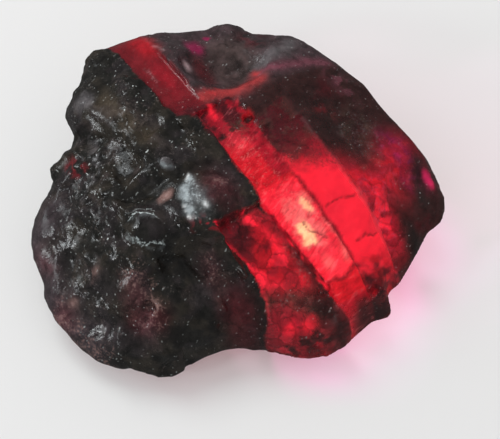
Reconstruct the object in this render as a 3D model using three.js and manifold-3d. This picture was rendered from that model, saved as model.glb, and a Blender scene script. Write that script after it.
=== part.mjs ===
// A rough ruby: one broken piece of crystal, with a dark lumpy crust on its left, flat red layers through
// its middle and a smooth dark face on its right. It is a single solid. Millimetres, +Z up, lying on its
// underside, with the origin under the middle of the stone.
import * as THREE from 'three';
import { ImprovedNoise } from 'three/addons/math/ImprovedNoise.js';
import { mergeVertices } from 'three/addons/utils/BufferGeometryUtils.js';
import Module from 'manifold-3d';

// Driving dimensions
const rimHeight = 4.0; // the widest line round the stone, above the ground, at the middle of its depth
const rimTilt = 0.187; // how much that line climbs for each millimetre towards the back
const grain = THREE.MathUtils.degToRad(35); // the red layers run this far from the front-to-back direction
const rings = 25; // rings of faces from the middle of the top out to the rim, and again down to the underside
const markReach = 2.3; // how far a height mark spreads its height
const flatShare = { front: 0.88, back: 0.66 }; // share of the way out to the rim that lies flat on the ground
const halfDepth = 13; // from the middle of the stone to its front and its back
const crustEdge = -0.7; // the crust lies to the left of this line across the layers
const plateEdge = 5.95; // the smooth red plate ends at this line across the layers, where the right face starts
const roughness = { crust: 0.55, plain: 0.12 }; // height of the waves on the crust and on the rest of the top
const clear = 16; // cutters reach this far up, past the top of the stone
const tiny = 1e-6; // keeps a share of the way to the rim off zero

// The outline seen from above, clockwise from the back left corner
const outline = [
  [-11.6, 10.5], [-9.3, 11.7], [-7.4, 12.3], [-5.0, 13.0], [-2.7, 13.2], [-1.8, 13.6], [-0.9, 13.8],
  [0.1, 13.6], [0.7, 12.9], [2.3, 12.8], [4.3, 12.5], [5.3, 11.9], [8.1, 9.7], [9.5, 8.4],
  [10.6, 6.9], [12.9, 4.3], [13.8, 3.1], [14.5, 1.6], [15.0, 0.2], [15.0, -0.7], [14.7, -1.6],
  [13.7, -2.4], [13.0, -3.8], [11.6, -6.2], [10.9, -6.8], [10.6, -7.5], [11.0, -8.3], [10.7, -8.7],
  [9.6, -9.0], [8.7, -9.8], [7.6, -10.8], [6.4, -11.5], [5.1, -11.8], [3.9, -11.7], [2.3, -11.2],
  [0.0, -11.0], [-0.9, -11.1], [-2.5, -11.7], [-3.2, -12.3], [-4.1, -12.8], [-5.1, -13.1], [-6.3, -13.0],
  [-8.2, -12.4], [-9.2, -12.3], [-10.1, -12.0], [-11.3, -11.1], [-12.5, -9.8], [-13.3, -8.6], [-14.1, -7.3],
  [-14.1, -6.3], [-14.7, -4.9], [-15.0, -3.7], [-14.9, -1.6], [-14.2, -0.1], [-13.7, 0.9], [-13.8, 1.5],
  [-13.3, 2.4], [-12.3, 3.0], [-11.8, 4.2], [-12.8, 6.3], [-12.7, 7.1], [-12.1, 8.1], [-11.5, 8.9],
];

// Height marks on top of the stone before it is cut: x, y and height
const heightMarks = [
  [-7.1, 3.7, 10.8], [-10.3, 4.2, 9.9], [-10.6, 7.8, 9.0], [-4.9, -0.4, 10.8], [-2.4, -2.6, 10.3], // high crust
  [-8.5, -2.1, 9.3], [-11.1, 1.6, 8.0], [-13.2, -2.3, 6.2], [-12.9, -6.3, 5.2], [-7.8, -6.7, 8.4], // left crust
  [-4.9, -9.6, 7.4], [-7.1, -12.3, 4.6], [-11.4, -10.7, 4.2], [-1.0, -10.4, 6.0], // front crust
  [-5.3, 6.6, 10.3], [-9.0, 10.0, 9.2], [2.3, -0.5, 10.2], [5.9, -5.5, 9.4], [8.0, -9.4, 7.6], // red layers
  [8.0, -1.4, 9.4], [7.7, 3.3, 9.6], [11.6, 3.5, 7.6], [13.4, -0.2, 5.6], [11.6, -4.3, 6.4], // right face
  [2.6, 7.0, 9.8], [-0.3, 9.3, 9.0], [-0.8, 12.0, 8.0], [5.9, 9.7, 8.6], // back
  [1.9, -6.9, 8.6], [4.4, -11.3, 5.4], // lower terrace
];

const wasm = await Module();
wasm.setup();

// A seeded random number between two values, the same on every run
let seed = 5;
function between(low, high) {
  seed = (seed * 1664525 + 1013904223) % 4294967296;
  return low + (high - low) * (seed / 4294967296);
}

// A closed three.js geometry as a solid that can be joined and cut
function solidOf(geometry) {
  geometry.deleteAttribute('normal');
  geometry.deleteAttribute('uv');
  const merged = mergeVertices(geometry, 1e-4);
  return new wasm.Manifold(new wasm.Mesh({
    numProp: 3,
    vertProperties: merged.attributes.position.array,
    triVerts: new Uint32Array(merged.index.array),
  }));
}

// The plan position of a place along and across the layers
function layerPlan(along, across) {
  return [
    along * Math.sin(grain) + across * Math.cos(grain),
    -along * Math.cos(grain) + across * Math.sin(grain),
  ];
}

// How far across the layers a plan position lies
function acrossOf(x, y) {
  return x * Math.cos(grain) + y * Math.sin(grain);
}

// The rim: the outline with its longest stretches split until four quarters of it hold one point for each
// ring
function rimPoints() {
  const rim = outline.map((point) => [...point]);
  while (rim.length < 4 * rings) {
    let longest = 0;
    let place = 0;
    rim.forEach(([x, y], i) => {
      const [nextX, nextY] = rim[(i + 1) % rim.length];
      const length = Math.hypot(nextX - x, nextY - y);
      if (length > longest) [longest, place] = [length, i];
    });
    const [x, y] = rim[place];
    const [nextX, nextY] = rim[(place + 1) % rim.length];
    rim.splice(place + 1, 0, [(x + nextX) / 2, (y + nextY) / 2]);
  }
  return rim.reverse();
}

const rim = rimPoints();

// The height of the top before it is cut: each mark counts most near its own place
function topHeight(x, y) {
  let sum = 0;
  let weights = 0;
  for (const [markX, markY, height] of heightMarks) {
    const weight = Math.exp(-((x - markX) ** 2 + (y - markY) ** 2) / markReach ** 2);
    sum += weight * height;
    weights += weight;
  }
  return sum / weights;
}

// The height of the rough block's top, where out is the share of the way from the middle to the rim
const noise = new ImprovedNoise();
function blockHeight(x, y, out) {
  const rough = acrossOf(x, y) < crustEdge ? roughness.crust : roughness.plain;
  const wave = noise.noise(x * 0.45, y * 0.45, 3.1) + 0.7 * noise.noise(x * 0.95, y * 0.95, 8.7);
  const shoulder = Math.sqrt(Math.max(0, 1 - out ** 8));
  const rim = rimHeight + rimTilt * y / out;
  return rim + (topHeight(x, y) - rim + rough * wave) * shoulder;
}

// The share of the way out to the rim that lies flat on the ground, for a place on the rim this far back
function flatReach(rimY) {
  return THREE.MathUtils.mapLinear(rimY, -halfDepth, halfDepth, flatShare.front, flatShare.back);
}

// The height of the underside, which is flat in the middle and climbs to the rim
function underHeight(x, y, out) {
  const flat = flatReach(y / out);
  const climb = THREE.MathUtils.clamp((out - flat) / (1 - flat), 0, 1) ** 0.85;
  const wave = 0.8 * noise.noise(x * 0.4, y * 0.4, 15.3) * Math.sqrt(climb) * (1 - climb);
  return (rimHeight + rimTilt * y / out) * climb + wave - 0.2 * (1 - climb);
}

// How far a plan position lies from the middle of the stone, as a share of the way to the rim
function shareToRim(x, y) {
  let out = 0;
  rim.forEach(([rimX, rimY], i) => {
    const [nextX, nextY] = rim[(i + 1) % rim.length];
    const area = rimX * nextY - rimY * nextX;
    const first = (x * nextY - y * nextX) / area;
    const second = (rimX * y - rimY * x) / area;
    if (first >= -tiny && second >= -tiny) out = first + second;
  });
  return Math.max(out, tiny);
}

// The rough block: an octahedron divided into even faces, whose square rings are laid out from the middle
// of the top to the rim and from the rim to the middle of the underside
function roughBlock() {
  const block = new THREE.OctahedronGeometry(1, rings - 1);
  const places = block.attributes.position;
  for (let i = 0; i < places.count; i++) {
    const [east, north, up] = [places.getX(i), places.getY(i), places.getZ(i)];
    const outwards = Math.abs(east) + Math.abs(north);
    const out = Math.max(tiny, outwards / (outwards + Math.abs(up)));
    const round = Math.abs(north) / Math.max(tiny, outwards);
    const quarter = north >= 0 ? (east >= 0 ? round : 2 - round) : (east < 0 ? 2 + round : 4 - round);
    const [rimX, rimY] = alongRim(quarter / 4);
    const height = up >= -tiny ? blockHeight : underHeight;
    places.setXYZ(i, rimX * out, rimY * out, height(rimX * out, rimY * out, out));
  }
  return solidOf(block);
}

// The place on the rim at a share of the way round it
function alongRim(round) {
  const place = round * rim.length;
  const corner = Math.floor(place + 1e-4);
  const [x, y] = rim[corner % rim.length];
  const [nextX, nextY] = rim[(corner + 1) % rim.length];
  const share = Math.max(0, place - corner);
  return [x + (nextX - x) * share, y + (nextY - y) * share];
}

// The column above a plan polygon, from its sloping floor up past the stone: what is cut away above a ledge
function spaceAbove(corners, at, slope) {
  const shape = new THREE.Shape(corners.map(([x, y]) => new THREE.Vector2(x, y)));
  const column = new THREE.ExtrudeGeometry(shape, { depth: clear, bevelEnabled: false });
  const places = column.attributes.position;
  for (let i = 0; i < places.count; i++) {
    const floor = at[2] + slope[0] * (places.getX(i) - at[0]) + slope[1] * (places.getY(i) - at[1]);
    if (places.getZ(i) < clear / 2) places.setZ(i, floor);
  }
  return solidOf(column);
}

// The space above one layer: its profile holds places along the layer and their heights, left and right
// are its edges across the layers, the left one bent outwards at its far end, and lean is its slope from
// left to right
function spaceAboveLayer(profile, left, right, lean, bend) {
  const shape = new THREE.Shape();
  shape.moveTo(profile[0][0], clear);
  profile.forEach(([along, height]) => shape.lineTo(along, height));
  shape.lineTo(profile[profile.length - 1][0], clear);
  const slab = new THREE.ExtrudeGeometry(shape, { depth: right - left, bevelEnabled: false });
  const places = slab.attributes.position;
  for (let i = 0; i < places.count; i++) {
    const [along, height, across] = [places.getX(i), places.getY(i), right - places.getZ(i)];
    const middle = (left + right) / 2;
    const edge = across < middle ? bend * Math.max(0, along - 2) ** 2 : 0;
    const tilt = height < clear ? lean * (across - middle) : 0;
    const [x, y] = layerPlan(along, across + edge);
    places.setXYZ(i, x, y, height + tilt);
  }
  return solidOf(slab);
}

// A squashed, dented and turned ball with few faces: a lump where it is joined on, a pit where it is cut
// out
function ballSolid(at, size, turn, detail, dent = 0) {
  const ball = new THREE.IcosahedronGeometry(1, detail);
  const places = ball.attributes.position;
  for (let i = 0; i < places.count; i++) {
    const [x, y, z] = [places.getX(i), places.getY(i), places.getZ(i)];
    const swell = 1 + dent * noise.noise(x * 1.4 + at[0], y * 1.4 + at[1], z * 1.4 + 5.5);
    places.setXYZ(i, x * swell, y * swell, z * swell);
  }
  ball.scale(...size);
  ball.rotateX(turn[0]);
  ball.rotateY(turn[1]);
  ball.rotateZ(turn[2]);
  ball.translate(...at);
  return solidOf(ball);
}

// A block whose lower face lies at a place and faces away from a direction: it shaves the stone flat there
function shavingBlock(at, direction, width, length, turn = 0) {
  const block = new THREE.BoxGeometry(width, length, clear);
  block.translate(0, 0, clear / 2);
  block.rotateZ(turn);
  const facing = new THREE.Vector3(...direction).normalize();
  block.applyQuaternion(new THREE.Quaternion().setFromUnitVectors(new THREE.Vector3(0, 0, 1), facing));
  block.translate(...at);
  return solidOf(block);
}

// A many-sided block that widens upwards, with its smallest face at a place and facing away from a
// direction: it leaves a small flat broken face with sloping sides
function chippingBlock(at, direction, sides, radius, stretch, turn) {
  const block = new THREE.CylinderGeometry(radius + clear * 0.8, radius, clear, sides);
  block.translate(0, clear / 2, 0);
  block.rotateX(Math.PI / 2);
  block.scale(1, stretch, 1);
  block.rotateZ(turn);
  const facing = new THREE.Vector3(...direction).normalize();
  block.applyQuaternion(new THREE.Quaternion().setFromUnitVectors(new THREE.Vector3(0, 0, 1), facing));
  block.translate(...at);
  return solidOf(block);
}

// A solid back as a three.js geometry
function geometryOf(solid) {
  const mesh = solid.getMesh();
  const shared = new THREE.BufferGeometry();
  shared.setAttribute('position', new THREE.BufferAttribute(new Float32Array(mesh.vertProperties), 3));
  shared.setIndex(new THREE.BufferAttribute(new Uint32Array(mesh.triVerts), 1));
  const geometry = shared.toNonIndexed();
  geometry.computeVertexNormals();
  return geometry;
}

let stone = roughBlock();

function cut(solid) {
  stone = stone.subtract(solid);
}

function join(solid) {
  stone = stone.add(solid);
}

// The two large lumps of the crust, which small lumps and broken faces keep off: x, y and the room they
// need
const roundKnob = [-1.9, -3.0, 2.6];
const ovalLump = [-6.3, -4.6, 2.4];

// A place on the crust chosen by chance, off the large lumps and the terrace, and its share of the way to
// the rim
function crustPlace(least, most) {
  for (;;) {
    const out = Math.sqrt(between(least ** 2, most ** 2));
    const [x, y] = alongRim(between(0, 1)).map((value) => value * out);
    const onCrust = acrossOf(x, y) < (y < -4 ? -3.4 : crustEdge - 0.9);
    const onLump = ([lumpX, lumpY, room]) => Math.hypot(x - lumpX, y - lumpY) < room;
    if (onCrust && !onLump(roundKnob) && !onLump(ovalLump)) return [x, y, out];
  }
}

// Lumps of the crust: the round knob beside the red layers, the long oval below it, a droplet, a pale
// grain and a swelling at the notch. The hump stands at the middle of the back
join(ballSolid([roundKnob[0], roundKnob[1], 9.3], [2.3, 2.1, 1.8], [0, 0, 0.4], 2));
join(ballSolid([ovalLump[0], ovalLump[1], 8.6], [2.0, 1.5, 1.3], [0, 0, -0.3], 2));
join(ballSolid([-5.0, -0.4, 10.6], [0.35, 0.65, 0.5], [0, 0, 0.3], 1));
join(ballSolid([-5.2, -2.9, 9.8], [0.7, 0.4, 0.45], [0, 0, 0.1], 1));
join(ballSolid([-12.0, 2.2, 5.6], [0.9, 1.1, 1.2], [0, 0.3, 0], 1));
join(ballSolid([-0.7, 12.0, 6.3], [1.8, 1.6, 1.7], [0.3, 0, 0], 1));

// Small lumps of the crust, low and uneven
const smallLumps = 14;
for (let i = 0; i < smallLumps; i++) {
  const [x, y, out] = crustPlace(0.3, 0.94);
  const radius = between(0.6, 1.2);
  const size = [radius * between(1.0, 1.5), radius, radius * between(0.5, 0.7)];
  const turn = [between(-0.3, 0.3), between(-0.3, 0.3), between(0, 3)];
  join(ballSolid([x, y, blockHeight(x, y, out) - size[2] * 0.45], size, turn, 1, 0.3));
}

// The three red layers, each a flat step below the crust: the narrow upper plank, then the wide bright
// layer and the smooth plate beside it, which fall away to the front right
const upperPlank = [[-16, 8.2], [-13, 8.7], [-10, 9.5], [-5.4, 9.9]];
const brightLayer = [[-4.6, 9.6], [3.5, 9.1], [8.2, 8.0], [10.6, 7.0], [13.6, 3.4]];
const smoothPlate = [[-1.4, 9.3], [4.4, 8.9], [7.8, 7.9], [9.6, 7.0], [12.4, 4.4]];
cut(spaceAboveLayer(upperPlank, -1.8, 0.6, 0.06, 0));
cut(spaceAboveLayer(brightLayer, -0.55, 3.0, -0.07, 0.009));
cut(spaceAboveLayer(smoothPlate, 2.85, plateEdge, 0.06, 0));

// The gully between the bright layer and the plate: a long three-sided groove
const gully = new THREE.CylinderGeometry(0.5, 0.5, 10.0, 3);
gully.rotateX(THREE.MathUtils.degToRad(9));
gully.rotateZ(grain);
gully.translate(...layerPlan(4.6, 3.05), 8.95);
cut(solidOf(gully));

// The right face slopes down from the plate's straight edge, and turns down again before the rim
const besidePlate = [
  layerPlan(-6, 4.2), layerPlan(-1.5, 4.6), layerPlan(-1.5, plateEdge), layerPlan(14, plateEdge),
  [18, -6], [18, 14], [4.5, 14],
];
cut(spaceAbove(besidePlate, [6.3, 2.0, 9.1], [-0.42, -0.1]));
cut(shavingBlock([13.5, 0.8, 5.6], [0.66, 0.02, 0.75], 6, 7, 0.2));
cut(shavingBlock([12.0, -3.4, 4.9], [0.5, -0.5, 0.7], 4, 4, 0.5));
cut(shavingBlock([8.8, 8.2, 7.2], [0.4, 0.45, 0.8], 7, 3.4, 0.9));

// The lower terrace in front of the bright layer, with a pointed left corner, and the lobe below it
const terrace = [
  [-1.7, -5.2], [0.5, -6.9], [1.4, -8.2], [1.9, -9.3], [2.1, -10.2], [1.9, -13.0], [9.0, -13.0],
  layerPlan(13.6, 0.7), layerPlan(12.4, 0.6), layerPlan(10.6, 0.3), layerPlan(8.2, -0.05), layerPlan(3.5, -0.4),
];
cut(spaceAbove(terrace, [0.0, -6.0, 7.6], [-0.1, 0.45]));
cut(shavingBlock([4.2, -10.4, 4.6], [0.0, -0.62, 0.78], 5.5, 3.2, 0));

// The dish at the back
cut(ballSolid([-0.9, 8.8, 9.7], [3.3, 2.6, 1.9], [0.1, 0, 0.2], 2, 0.15));

// Flat broken faces of the crust: beside the back left corner, on the high crust, and along the front
cut(shavingBlock([-11.3, 5.6, 8.3], [-0.85, -0.1, 0.5], 3.5, 3.0, 0.1));
cut(shavingBlock([-11.2, 9.2, 8.4], [-0.6, 0.4, 0.7], 3.0, 3.4, 0.3));
cut(shavingBlock([-7.8, 3.0, 10.4], [-0.2, -0.25, 0.95], 4.2, 1.7, -0.9));
cut(shavingBlock([-3.0, -12.0, 4.9], [0.15, -0.75, 0.6], 4.6, 3.8, 0));
cut(shavingBlock([0.3, -9.6, 6.0], [0.45, -0.62, 0.62], 3.0, 4.0, 0.3));

// Planks of the crust: narrow flat ledges along the layers, with uneven ends. Each row holds the place
// along the layers where the ledge starts and ends, its two edges across them, and how deep it lies in the
// block
const planks = [
  [-9.5, -5.0, -4.6, -2.9, 0.35], [-4.6, -0.8, -3.8, -2.3, 0.3], [-7.2, -3.6, -7.4, -5.6, 0.4],
  [2.6, 6.6, -8.6, -6.9, 0.35], [-3.6, 0.2, -11.6, -10.2, 0.35], [5.2, 9.4, -6.2, -4.6, 0.35],
  [4.4, 8.4, -4.1, -2.8, 0.3], [7.6, 11.6, -10.2, -8.4, 0.3],
];
const crustHeight = (x, y) => blockHeight(x, y, shareToRim(x, y));
for (const [start, end, left, right, depth] of planks) {
  const corners = [[start, left], [end, left], [end, right], [start, right]].map(
    ([along, across]) => layerPlan(along + between(-0.7, 0.7), across + between(-0.3, 0.3)),
  );
  const [x, y] = layerPlan((start + end) / 2, (left + right) / 2);
  const climbs = [
    (crustHeight(x + 1, y) - crustHeight(x - 1, y)) / 2,
    (crustHeight(x, y + 1) - crustHeight(x, y - 1)) / 2,
  ];
  const slope = climbs.map((climb) => climb + between(-0.12, 0.12));
  cut(spaceAbove(corners, [x, y, crustHeight(x, y) - depth], slope));
}

// Small broken faces of the crust, turned any way
const chips = 34;
for (let i = 0; i < chips; i++) {
  const [x, y, out] = crustPlace(0.15, 0.95);
  const floor = blockHeight(x, y, out) - between(0.05, 0.3);
  const fall = 0.05 * out ** 3;
  const facing = [between(-0.5, 0.4) + fall * x, between(-0.5, 0.3) + fall * y, 1];
  const sides = Math.floor(between(4, 7));
  const [radius, stretch, turn] = [between(0.3, 0.8), between(1.0, 1.8), grain + between(-0.7, 0.7)];
  cut(chippingBlock([x, y, floor], facing, sides, radius, stretch, turn));
}

// Small pits of the crust
const smallPits = 8;
for (let i = 0; i < smallPits; i++) {
  const [x, y, out] = crustPlace(0.3, 0.9);
  const radius = between(0.5, 1.0);
  const size = [radius * between(1.0, 1.5), radius, radius * 0.6];
  cut(ballSolid([x, y, blockHeight(x, y, out) + size[2] * 0.4], size, [0, 0, between(0, 3)], 1, 0.3));
}

// The underside: flat broken faces round the skirt, each hung from the rim, and shallow hollows in the
// middle
const skirtFaces = 22;
const skirtDrop = 0.2; // how far under the rim each of them starts
const skirtStep = 0.02; // how far round the rim to each side its direction is read
for (let i = 0; i < skirtFaces; i++) {
  const round = (i + between(0.2, 0.8)) / skirtFaces;
  const [rimX, rimY] = alongRim(round);
  const [aheadX, aheadY] = alongRim(round + skirtStep);
  const [behindX, behindY] = alongRim(round + 1 - skirtStep);
  const along = new THREE.Vector3(aheadX - behindX, aheadY - behindY, 0).setZ(rimTilt * (aheadY - behindY));
  along.normalize();
  const outwards = new THREE.Vector3(along.y, -along.x, 0).normalize();
  const down = along.clone().cross(outwards);
  const height = rimHeight + rimTilt * rimY;
  const undercut = (1 - flatReach(rimY)) * Math.hypot(rimX, rimY) / height * between(1.1, 1.5);
  const facing = outwards.clone().addScaledVector(down, undercut);
  const inwards = down.clone().addScaledVector(outwards, -undercut).setLength(between(1.2, 2.2));
  const place = inwards.add(new THREE.Vector3(rimX, rimY, height - skirtDrop));
  const sides = Math.floor(between(4, 7));
  cut(chippingBlock(place.toArray(), facing.toArray(), sides, between(1.4, 2.6), 1, between(0, 3)));
}
const hollows = [[-6, 3, 2.6], [4.5, -3, 3.2], [-3, -7, 2.0], [2, 5, 1.8], [-9, -4, 1.6]];
for (const [x, y, width] of hollows) {
  const size = [width, width * between(0.5, 0.8), between(0.9, 1.2)];
  cut(ballSolid([x, y, -0.5], size, [0, 0, between(0, 3)], 1, 0.3));
}

// Everything under the ground line is cut away, which leaves the flat face that the stone lies on
const ground = new THREE.BoxGeometry(4 * halfDepth, 4 * halfDepth, clear);
ground.translate(0, 0, -clear / 2);
cut(solidOf(ground));

// Crumbs that the cuts left loose are dropped: the stone is the largest body
stone = stone.decompose().reduce((largest, body) => (body.volume() > largest.volume() ? body : largest));

const ruby = new THREE.Mesh(geometryOf(stone), new THREE.MeshStandardMaterial({
  color: 0x4a1018,
  roughness: 0.25,
  metalness: 0,
}));
ruby.name = 'ruby';

const part = new THREE.Group();
part.add(ruby);

export default part;
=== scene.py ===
import math
import bmesh
import bpy
import numpy as np
from mathutils import Matrix, Vector, noise


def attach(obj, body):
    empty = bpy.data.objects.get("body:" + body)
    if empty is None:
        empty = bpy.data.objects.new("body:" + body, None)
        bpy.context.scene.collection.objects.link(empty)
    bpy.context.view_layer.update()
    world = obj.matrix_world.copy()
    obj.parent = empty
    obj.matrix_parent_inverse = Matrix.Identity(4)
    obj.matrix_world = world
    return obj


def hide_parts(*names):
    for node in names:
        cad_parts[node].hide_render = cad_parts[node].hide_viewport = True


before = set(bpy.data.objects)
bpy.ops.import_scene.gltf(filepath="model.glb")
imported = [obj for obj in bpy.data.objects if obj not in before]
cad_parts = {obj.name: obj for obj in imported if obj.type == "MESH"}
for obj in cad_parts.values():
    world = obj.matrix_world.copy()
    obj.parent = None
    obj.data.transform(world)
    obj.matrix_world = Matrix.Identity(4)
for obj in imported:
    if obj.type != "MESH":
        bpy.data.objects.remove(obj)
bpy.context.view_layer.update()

# The stone. A rough ruby is one broken piece of corundum, which grew as flat layers in its host rock. Where
# the rock clung to it, it keeps a dark glossy crust; where it broke, its see-through red layers lie open.
# It is the solid's own shape with an even fine skin, worked in millimetres.
millimetre = 0.001
skin_step = 0.157  # edge length of the fine skin
ruby_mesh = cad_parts["ruby"].data.copy()
stone = bpy.data.objects.new("rough_ruby", ruby_mesh)
bpy.context.scene.collection.objects.link(stone)

form = bmesh.new()
form.from_mesh(ruby_mesh)
bmesh.ops.remove_doubles(form, verts=form.verts, dist=1e-7)
bmesh.ops.scale(form, verts=form.verts, vec=Vector((1, 1, 1)) / millimetre)
form.to_mesh(ruby_mesh)
form.free()

remesh = stone.modifiers.new("even_skin", "REMESH")
remesh.mode = "VOXEL"
remesh.voxel_size = skin_step
skin = bpy.data.meshes.new_from_object(stone.evaluated_get(bpy.context.evaluated_depsgraph_get()))
stone.modifiers.clear()
stone.data = skin
bpy.data.meshes.remove(ruby_mesh)

grain = math.radians(35)  # the layers run this far from the front-to-back direction
rim_height, rim_climb = 4.0, 0.187  # the stone's widest line: height at the middle, and climb backwards


# Where points lie on the layers: along them, from back left to front right, and across them
def along_layers(x, y):
    return x * math.sin(grain) - y * math.cos(grain)


def across_layers(x, y):
    return x * math.cos(grain) + y * math.sin(grain)


# A smooth step from 0 at the low value to 1 at the high one
def step(low, high, values):
    share = np.clip((values - low) / (high - low), 0, 1)
    return share * share * (3 - 2 * share)


# Crumbs that the even skin left loose are taken away, so that the stone is one closed surface
form = bmesh.new()
form.from_mesh(skin)
joined = set()
waiting = [max(form.verts, key=lambda vertex: vertex.co.z)]
while waiting:
    vertex = waiting.pop()
    if vertex not in joined:
        joined.add(vertex)
        waiting += [side.other_vert(vertex) for side in vertex.link_edges]
bmesh.ops.delete(form, geom=[vertex for vertex in form.verts if vertex not in joined], context="VERTS")


# Smooths some of the skin's points, so many times over
def wear(vertices, times):
    all_ways = {"use_axis_x": True, "use_axis_y": True, "use_axis_z": True}
    for _ in range(times):
        bmesh.ops.smooth_vert(form, verts=vertices, factor=0.5, **all_ways)


# The skin's points within reach of any of some spots in plan, each given as x, y and reach
def within(spots):
    return [
        vertex for vertex in form.verts
        if any(math.hypot(vertex.co.x - at_x, vertex.co.y - at_y) < reach for at_x, at_y, reach in spots)
    ]


# The solid's hard steps at the back end of the plate, round the dish and in the crust are worn on the stone
plate_step, slope_length = 0.5, 2.6
step_at, step_slant = -1.75, 0.31  # where the plate's back end lies along the layers, and how it slants
for vertex in form.verts:
    vertex_along = along_layers(vertex.co.x, vertex.co.y)
    vertex_across = across_layers(vertex.co.x, vertex.co.y)
    behind_step = step_at + step_slant * (vertex_across - 3.0) - vertex_along
    if vertex.co.z > 8.6 and behind_step > 0:
        beside_plate = step(2.2, 3.0, vertex_across) * step(7.4, 6.2, vertex_across)
        vertex.co.z -= plate_step * step(slope_length, 0.1, behind_step) * beside_plate
step_crest = [(1.6, 3.3, 0.7), (2.3, 3.5, 0.7), (3.0, 3.9, 0.7), (3.7, 4.1, 0.7), (4.4, 4.4, 0.8)]
crust_tip = Vector((-9.5, -6.9, 7.6))
dish_floor, front_step, plate_corner = (-0.9, 8.8, 3.6), (-4.2, -8.2, 1.8), (8.7, -2.0, 0.9)
crust_side = -2.2
wear(within(step_crest), 20)
wear(within([dish_floor, front_step, plate_corner, (crust_tip.x, crust_tip.y, 1.1)]), 12)
wear([vertex for vertex in form.verts if across_layers(vertex.co.x, vertex.co.y) < crust_side], 10)
wear(form.verts, 1)
form.normal_update()
form.verts.ensure_lookup_table()
place = np.array([vertex.co for vertex in form.verts])
facing = np.array([vertex.normal for vertex in form.verts])
x, y, z = place.T
along, across = along_layers(x, y), across_layers(x, y)
above_rim = z - rim_height - rim_climb * y
noise.seed_set(7)  # the facets lean the same way in every run


# Waves of a given length in millimetres, from about -1 to 1, stretched along the layers if asked
def waves(length, shift, stretch=1.0, detail=3):
    turn = Matrix.Rotation(grain, 3, "Z")
    found = []
    for point in place:
        turned = turn @ Vector(point)
        turned.y /= stretch
        found.append(noise.fractal(turned / length + Vector((shift, 0, 0)), 1.0, 2.0, detail))
    return np.array(found)


# Flat broken facets: each place takes the height of the tilted plane of the cell that it lies in
def facets(width, shift):
    found = []
    for point in place:
        scaled = Vector(point) / width + Vector((shift, 0, 0))
        centre = noise.voronoi(scaled)[1][0]
        lean = noise.noise_vector(centre * 3.7)
        found.append(lean.dot(scaled - centre) * width)
    return np.array(found)


long_wave, short_wave, fine_wave = waves(2.4, 0), waves(0.9, 31), waves(0.4, 57)
side_wave = waves(0.8, 119)
warped_x, warped_y = x + 0.20 * short_wave, y + 0.20 * side_wave
warped_along, warped_across = along + 0.20 * short_wave, across + 0.10 * side_wave + 0.04 * fine_wave


# An oval patch with soft edges round a place in plan, with its length along the layers
def patch(at_x, at_y, length, width, sharp=1.0):
    off_x, off_y = warped_x - at_x, warped_y - at_y
    out = (along_layers(off_x, off_y) * 2 / length) ** 2 + (across_layers(off_x, off_y) * 2 / width) ** 2
    return np.exp(-(out**sharp))


# How far places are, in plan, from a line through points
def distance(from_x, from_y, points):
    nearest = np.full(len(from_x), np.inf)
    for (x0, y0), (x1, y1) in zip(points, points[1:]):
        length = (x1 - x0) ** 2 + (y1 - y0) ** 2
        share = np.clip(((from_x - x0) * (x1 - x0) + (from_y - y0) * (y1 - y0)) / length, 0, 1)
        off_x, off_y = from_x - x0 - share * (x1 - x0), from_y - y0 - share * (y1 - y0)
        nearest = np.minimum(nearest, np.hypot(off_x, off_y))
    return nearest


# How near places are to a line through points in plan: 1 on it, falling off over its width
def near_line(points, width):
    return np.exp(-((distance(warped_x, warped_y, points) * 2 / width) ** 2))


# How deep places lie inside an outline in plan, below zero outside it
def depth_inside(corners):
    from_x, from_y = x + 0.10 * short_wave, y + 0.10 * side_wave
    outline = corners + corners[:1]
    inside = np.zeros(len(x), bool)
    for (x0, y0), (x1, y1) in zip(outline, outline[1:]):
        crossed = (y0 > from_y) != (y1 > from_y)
        inside ^= crossed & (from_x < (x1 - x0) * (from_y - y0) / ((y1 - y0) or 1e-9) + x0)
    nearest = distance(from_x, from_y, outline)
    return np.where(inside, nearest, -nearest)


# The share of places that are past a line, with a soft edge to either side of it
def past(line, values, soft=0.1):
    return step(line - soft, line + soft, values)


# A stretch of a layer, between two places along it and two across it
def stretch_of_layer(start, end, left, right, soft=0.12):
    between_ends = past(start, warped_along, soft) * (1 - past(end, warped_along, soft))
    return between_ends * past(left, warped_across, soft) * (1 - past(right, warped_across, soft))


# Where the regions lie. The crust ends at the upper plank's edge, then at the bright layer's, then round
# the lower terrace, which ends in front in a rounded lobe.
plank_left, plank_right, plank_end = -1.8, 0.6, -5.4
bright_left, bright_right, bright_start, bright_bend = -0.55, 3.0, -4.6, 0.009
plate_left, plate_right, plate_start = 2.9, 5.95, -1.4
terrace_outline = [
    (-1.7, -5.2), (0.5, -6.9), (1.4, -8.2), (1.9, -9.3), (2.1, -10.2), (1.6, -14.0), (10.0, -14.0),
    (8.7, -10.8), (7.2, -9.5), (6.2, -8.5), (3.6, -5.5), (2.4, -4.0), (1.3, -3.4),
]
bright_edge = bright_left + bright_bend * np.clip(along - 2, 0, None) ** 2
red_edge = plank_left + (bright_edge - plank_left) * step(plank_end, bright_start + 0.8, along)
terrace = past(0, depth_inside(terrace_outline), 0.08)
off_terrace = 1 - terrace
crust = (1 - step(-0.08, 0.12, warped_across - red_edge)) * off_terrace
top = step(-1.0, 0.3, above_rim)
beyond_plate = past(plate_right, warped_across)
layers = (1 - crust) * off_terrace * (1 - beyond_plate)
layers *= past(bright_start, along, 0.3) * top
beyond = beyond_plate * (1 - crust)
back = (1 - crust) * (1 - step(-4.6, -3.4, along)) * past(plank_right, warped_across)
knob = patch(-1.9, -3.0, 5.0, 5.0, 3.0)
oval = patch(-6.5, -5.3, 3.6, 4.4, 3.0)
smooth_front = patch(-3.6, -11.4, 4.4, 3.8, 2.0)

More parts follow.
